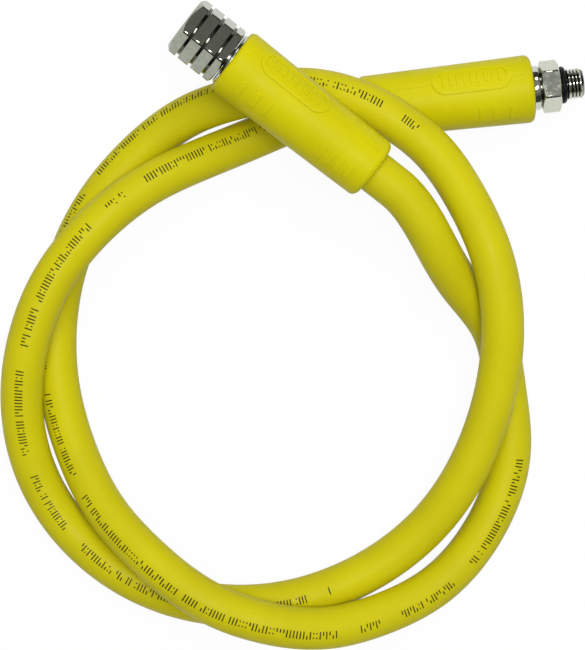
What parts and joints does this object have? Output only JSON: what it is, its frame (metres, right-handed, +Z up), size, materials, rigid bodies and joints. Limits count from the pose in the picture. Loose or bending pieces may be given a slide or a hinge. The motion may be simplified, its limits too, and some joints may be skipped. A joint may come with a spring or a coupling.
{
  "type": "regulator hose",
  "caption": "Yellow low-pressure diving regulator hose in two loose turns, with a hexagonal swivel nut, a threaded stud with O-ring and slip-on rubber protectors.",
  "frame": {"origin": "on the surface that the hose lies on, below the middle of the two end fittings with their protectors", "axes": "+Z up from the surface, +X to the right of the picture and roughly along the threaded stud, +Y to its top"},
  "size_m": [0.1804, 0.195, 0.0527],
  "materials": {
    "hose_rubber": "smooth yellow rubber cover, slightly glossy",
    "protector_rubber": "smooth moulded yellow rubber",
    "fitting_chrome": "bright chrome plating on brass",
    "ferrule_plating": "nickel plating on brass, less bright than the fittings",
    "o_ring_rubber": "satin black rubber"
  },
  "bodies": {
    "hose_line": {"hose": "hose_rubber", "female_ferrule": "ferrule_plating", "male_ferrule": "ferrule_plating", "swivel_stem": "fitting_chrome", "male_stem": "fitting_chrome", "nose_o_ring": "o_ring_rubber", "male_o_ring": "o_ring_rubber"},
    "nut": {"swivel_nut": "fitting_chrome"},
    "protector_by_nut": {"female_protector": "protector_rubber"},
    "protector_by_stud": {"male_protector": "protector_rubber"}
  },
  "joints": [
    {"name": "nut_spin", "type": "hinge", "parent": "hose_line", "child": "nut", "pos_m": [-0.05214, 0.0164, 0.04254], "axis": [-0.7885, 0.6028, 0.1219], "continuous": true},
    {"name": "protector_by_nut_slide", "type": "slide", "parent": "hose_line", "child": "protector_by_nut", "axis": [0.7885, -0.6028, -0.1219], "range_m": [0, 0.008]},
    {"name": "protector_by_stud_slide", "type": "slide", "parent": "hose_line", "child": "protector_by_stud", "axis": [-0.9936, -0.1115, -0.0159], "range_m": [0, 0.008]}
  ]
}
